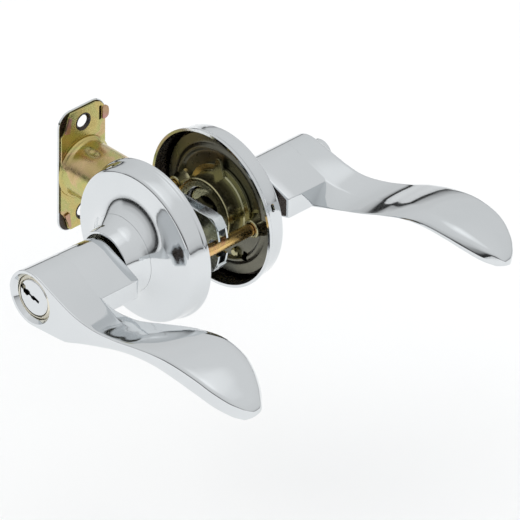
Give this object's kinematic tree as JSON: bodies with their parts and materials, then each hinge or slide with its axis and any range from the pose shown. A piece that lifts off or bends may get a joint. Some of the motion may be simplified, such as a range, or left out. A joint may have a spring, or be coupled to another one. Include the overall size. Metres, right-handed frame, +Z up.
{
  "type": "keyed tubular door lever set",
  "caption": "Keyed door lever set: wave levers on round roses, key cylinder outside, turn button inside, and a sprung tubular latch with a rounded faceplate.",
  "frame": {"origin": "where the spindle's axis crosses the mid-plane of the door", "axes": "+Y along the spindle from the keyed outer side to the inner side, -X towards the latch's faceplate, +X along the levers, +Z up"},
  "size_m": [0.1913, 0.1682, 0.0698],
  "materials": {
    "chrome": "polished",
    "zinc_yellow": "yellow zinc dichromate",
    "zinc_olive": "dark olive zinc dichromate",
    "zinc_silver": "clear zinc",
    "brass": "machined",
    "spring_steel": "drawn wire"
  },
  "bodies": {
    "door_set": {"exterior_rose": "chrome", "interior_rose": "chrome", "exterior_neck_bushing": "chrome", "interior_neck_bushing": "chrome", "exterior_mounting_plate": "zinc_olive", "interior_mounting_plate": "zinc_olive", "exterior_spring_cage": "zinc_olive", "interior_spring_cage": "zinc_olive", "exterior_return_spring": "spring_steel", "interior_return_spring": "spring_steel", "threaded_post_latch_side": "zinc_yellow", "threaded_post_lever_side": "zinc_yellow", "through_screw_latch_side": "zinc_yellow", "through_screw_lever_side": "zinc_yellow", "latch_faceplate": "chrome", "faceplate_backing_plate": "zinc_yellow", "latch_tube": "zinc_yellow", "latch_frame": "zinc_silver", "latch_spring_stop": "zinc_silver"},
    "inner_lever_set": {"interior_lever": "chrome", "interior_drive_sleeve": "zinc_yellow", "spindle": "zinc_olive", "latch_cam": "zinc_silver"},
    "outer_lever_set": {"exterior_lever": "chrome", "exterior_drive_sleeve": "zinc_yellow", "cylinder_body": "brass", "pin_chamber_cap": "brass", "driver_pin_1": "brass", "driver_pin_2": "brass", "driver_pin_3": "brass", "driver_pin_4": "brass"},
    "plug_set": {"key_plug": "chrome", "tailpiece": "zinc_silver", "key_pin_1": "brass", "key_pin_2": "brass", "key_pin_3": "brass", "key_pin_4": "brass"},
    "button_set": {"turn_button": "chrome", "lock_shaft": "zinc_silver"},
    "retractor_set": {"latch_retractor": "zinc_silver"},
    "bolt_set": {"latch_bolt": "chrome", "latch_rod": "zinc_silver", "latch_spring": "spring_steel"},
    "plunger_set": {"deadlatch_plunger": "chrome", "plunger_spring": "spring_steel"}
  },
  "joints": [
    {"name": "interior_lever_turn", "type": "hinge", "parent": "door_set", "child": "inner_lever_set", "pos_m": [0, 0, 0], "axis": [0, 1, 0], "range_deg": [0, 60], "stiffness_Nm_per_rad": 0.9, "springref_deg": -40.11},
    {"name": "exterior_lever_turn", "type": "hinge", "parent": "door_set", "child": "outer_lever_set", "pos_m": [0, 0, 0], "axis": [0, 1, 0], "range_deg": [0, 60], "stiffness_Nm_per_rad": 0.9, "springref_deg": -40.11},
    {"name": "retractor_slide", "type": "slide", "parent": "door_set", "child": "retractor_set", "axis": [1, 0, 0], "range_m": [0, 0.011]},
    {"name": "latch_bolt_slide", "type": "slide", "parent": "door_set", "child": "bolt_set", "axis": [1, 0, 0], "range_m": [0, 0.011], "stiffness_N_per_m": 300, "springref_m": -0.02, "deforming": ["latch_spring"]},
    {"name": "plunger_slide", "type": "slide", "parent": "bolt_set", "child": "plunger_set", "axis": [1, 0, 0], "range_m": [0, 0.006], "stiffness_N_per_m": 150, "springref_m": -0.006, "deforming": ["plunger_spring"]},
    {"name": "key_plug_turn", "type": "hinge", "parent": "outer_lever_set", "child": "plug_set", "pos_m": [0, 0, 0], "axis": [0, 1, 0], "range_deg": [0, 90]},
    {"name": "turn_button_turn", "type": "hinge", "parent": "inner_lever_set", "child": "button_set", "pos_m": [0, 0, 0], "axis": [0, -1, 0], "range_deg": [0, 90]}
  ],
  "couplings": [
    {"joint": "exterior_lever_turn", "follows": "interior_lever_turn", "ratio": 1},
    {"joint": "retractor_slide", "follows": "interior_lever_turn", "m_per_rad": 0.010504},
    {"joint": "latch_bolt_slide", "follows": "interior_lever_turn", "m_per_rad": 0.010504}
  ]
}
